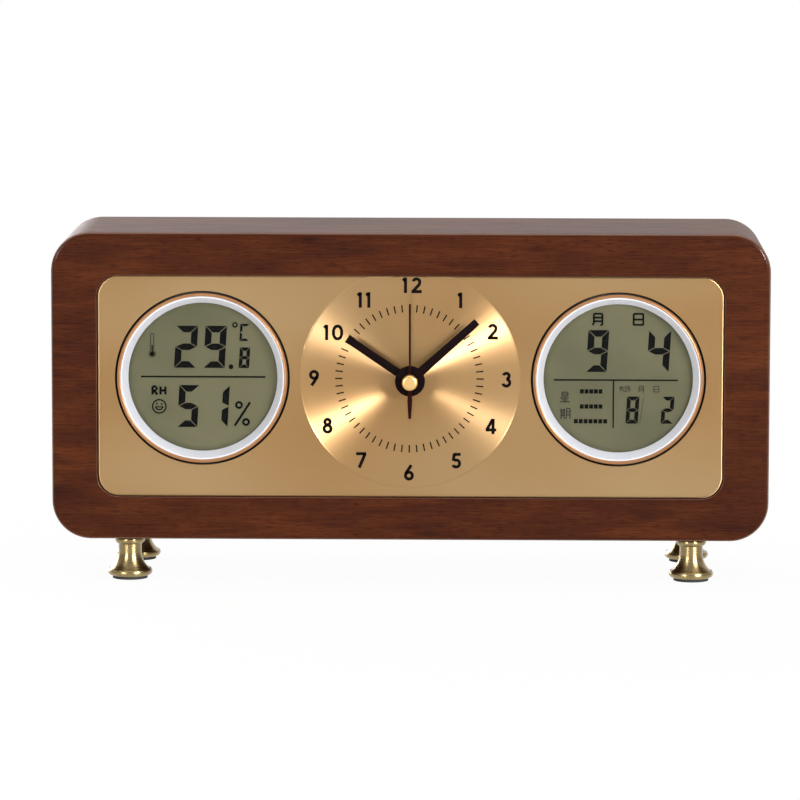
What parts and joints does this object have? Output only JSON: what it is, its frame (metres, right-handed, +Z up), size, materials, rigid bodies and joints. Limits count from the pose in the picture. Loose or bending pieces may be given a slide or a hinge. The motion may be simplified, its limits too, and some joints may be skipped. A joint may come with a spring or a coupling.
{
  "type": "desk clock with calendar",
  "caption": "Long wooden desk clock on turned brass feet, with a spun gold dial between a climate display and a calendar display.",
  "frame": {"origin": "on the floor under the middle of the whole clock", "axes": "+Z up, the dial faces -Y, +X to the right as seen from the front"},
  "size_m": [0.25, 0.0756, 0.1226],
  "materials": {
    "walnut": "satin",
    "back_board": "matt paint",
    "gold_aluminium": "spun and brushed, anodised gold",
    "brass": "lacquered",
    "rose_gold": "polished rose gold",
    "silver": "satin turned",
    "clear_window": "clear",
    "display_glass": "matt reflective",
    "rubber": "matt",
    "black_plastic": "matt",
    "grey_plastic": "satin",
    "acetal": "satin",
    "circuit_laminate": "satin",
    "steel": "bright",
    "nickel": "bright",
    "battery_jacket": "gloss",
    "copper_winding": "enamelled wire",
    "black_paint": "satin"
  },
  "bodies": {
    "case": {"back_panel": "back_board", "back_panel_screws": "steel", "battery": "battery_jacket", "battery_terminals": "nickel", "calendar_battery_contact": "nickel", "calendar_bezel": "silver", "calendar_circuit_board": "circuit_laminate", "calendar_coin_cell": "nickel", "calendar_contact_strips": "rubber", "calendar_display_cell": "display_glass", "calendar_housing": "black_plastic", "calendar_lens": "clear_window", "calendar_rear_cover": "black_plastic", "calendar_trim_ring": "rose_gold", "case_body": "walnut", "climate_battery_contact": "nickel", "climate_bezel": "silver", "climate_circuit_board": "circuit_laminate", "climate_coin_cell": "nickel", "climate_contact_strips": "rubber", "climate_display_cell": "display_glass", "climate_housing": "black_plastic", "climate_lens": "clear_window", "climate_rear_cover": "black_plastic", "climate_trim_ring": "rose_gold", "coil": "copper_winding", "dial_nut": "nickel", "foot_front_left": "brass", "foot_front_right": "brass", "foot_pads": "rubber", "foot_rear_left": "brass", "foot_rear_right": "brass", "foot_studs": "steel", "front_panel": "gold_aluminium", "insert_screws": "steel", "movement_base": "black_plastic", "movement_circuit_board": "circuit_laminate", "movement_cover": "black_plastic", "stator": "steel", "train_plate": "black_plastic"},
    "second_hand_arbor": {"second_wheel": "acetal", "second_hand": "black_paint", "hand_cap": "brass"},
    "minute_hand_pipe": {"cannon_pinion": "acetal", "minute_hand": "black_paint"},
    "hour_hand_pipe": {"hour_wheel": "acetal", "hour_hand": "black_paint"},
    "third": {"third_wheel": "acetal"},
    "centre": {"centre_wheel": "brass"},
    "intermediate": {"intermediate_wheel": "acetal"},
    "motor": {"rotor": "acetal"},
    "reverse": {"reverse_wheel": "acetal"},
    "knob": {"set_knob": "grey_plastic"},
    "climate_door": {"climate_battery_door": "black_plastic"},
    "calendar_door": {"calendar_battery_door": "black_plastic"},
    "climate_unit_key": {"climate_unit_button": "grey_plastic"},
    "calendar_down_key": {"calendar_down_button": "grey_plastic"},
    "calendar_set_key": {"calendar_set_button": "grey_plastic"},
    "calendar_up_key": {"calendar_up_button": "grey_plastic"}
  },
  "joints": [
    {"name": "second_hand_turn", "type": "hinge", "parent": "case", "child": "second_hand_arbor", "pos_m": [0, -0.0142, 0.0717], "axis": [0, 1, 0], "continuous": true},
    {"name": "minute_hand_turn", "type": "hinge", "parent": "case", "child": "minute_hand_pipe", "pos_m": [0, -0.0142, 0.0717], "axis": [0, 1, 0], "continuous": true},
    {"name": "hour_hand_turn", "type": "hinge", "parent": "case", "child": "hour_hand_pipe", "pos_m": [0, -0.0142, 0.0717], "axis": [0, 1, 0], "continuous": true},
    {"name": "third_wheel_turn", "type": "hinge", "parent": "case", "child": "third", "pos_m": [-0.00205, -0.0142, 0.08332], "axis": [0, 1, 0], "continuous": true},
    {"name": "centre_wheel_turn", "type": "hinge", "parent": "case", "child": "centre", "pos_m": [0, -0.0142, 0.0717], "axis": [0, 1, 0], "continuous": true},
    {"name": "intermediate_wheel_turn", "type": "hinge", "parent": "case", "child": "intermediate", "pos_m": [-0.00677, -0.0142, 0.06924], "axis": [0, 1, 0], "continuous": true},
    {"name": "rotor_turn", "type": "hinge", "parent": "case", "child": "motor", "pos_m": [-0.01366, -0.0142, 0.07045], "axis": [0, 1, 0], "continuous": true},
    {"name": "reverse_wheel_turn", "type": "hinge", "parent": "case", "child": "reverse", "pos_m": [0.0096, -0.0142, 0.0717], "axis": [0, 1, 0], "continuous": true},
    {"name": "set_knob_turn", "type": "hinge", "parent": "case", "child": "knob", "pos_m": [0.01746, 0.0035, 0.07721], "axis": [0, 1, 0], "continuous": true},
    {"name": "climate_battery_door_turn", "type": "hinge", "parent": "case", "child": "climate_door", "pos_m": [-0.0724, 0.0029, 0.0807], "axis": [0, -1, 0], "range_deg": [0, 40]},
    {"name": "calendar_battery_door_turn", "type": "hinge", "parent": "case", "child": "calendar_door", "pos_m": [0.0724, 0.0029, 0.0807], "axis": [0, -1, 0], "range_deg": [0, 40]},
    {"name": "climate_unit_button_press", "type": "slide", "parent": "case", "child": "climate_unit_key", "axis": [0, -1, 0], "range_m": [0, 0.0006], "stiffness_N_per_m": 2500},
    {"name": "calendar_down_button_press", "type": "slide", "parent": "case", "child": "calendar_down_key", "axis": [0, -1, 0], "range_m": [0, 0.0006], "stiffness_N_per_m": 2500},
    {"name": "calendar_set_button_press", "type": "slide", "parent": "case", "child": "calendar_set_key", "axis": [0, -1, 0], "range_m": [0, 0.0006], "stiffness_N_per_m": 2500},
    {"name": "calendar_up_button_press", "type": "slide", "parent": "case", "child": "calendar_up_key", "axis": [0, -1, 0], "range_m": [0, 0.0006], "stiffness_N_per_m": 2500}
  ],
  "couplings": [
    {"joint": "third_wheel_turn", "follows": "second_hand_turn", "ratio": -0.13333},
    {"joint": "centre_wheel_turn", "follows": "second_hand_turn", "ratio": 0.016667},
    {"joint": "intermediate_wheel_turn", "follows": "second_hand_turn", "ratio": -5},
    {"joint": "rotor_turn", "follows": "second_hand_turn", "ratio": 30},
    {"joint": "hour_hand_turn", "follows": "minute_hand_turn", "ratio": 0.083333},
    {"joint": "reverse_wheel_turn", "follows": "minute_hand_turn", "ratio": -0.33333},
    {"joint": "set_knob_turn", "follows": "minute_hand_turn", "ratio": 1}
  ]
}
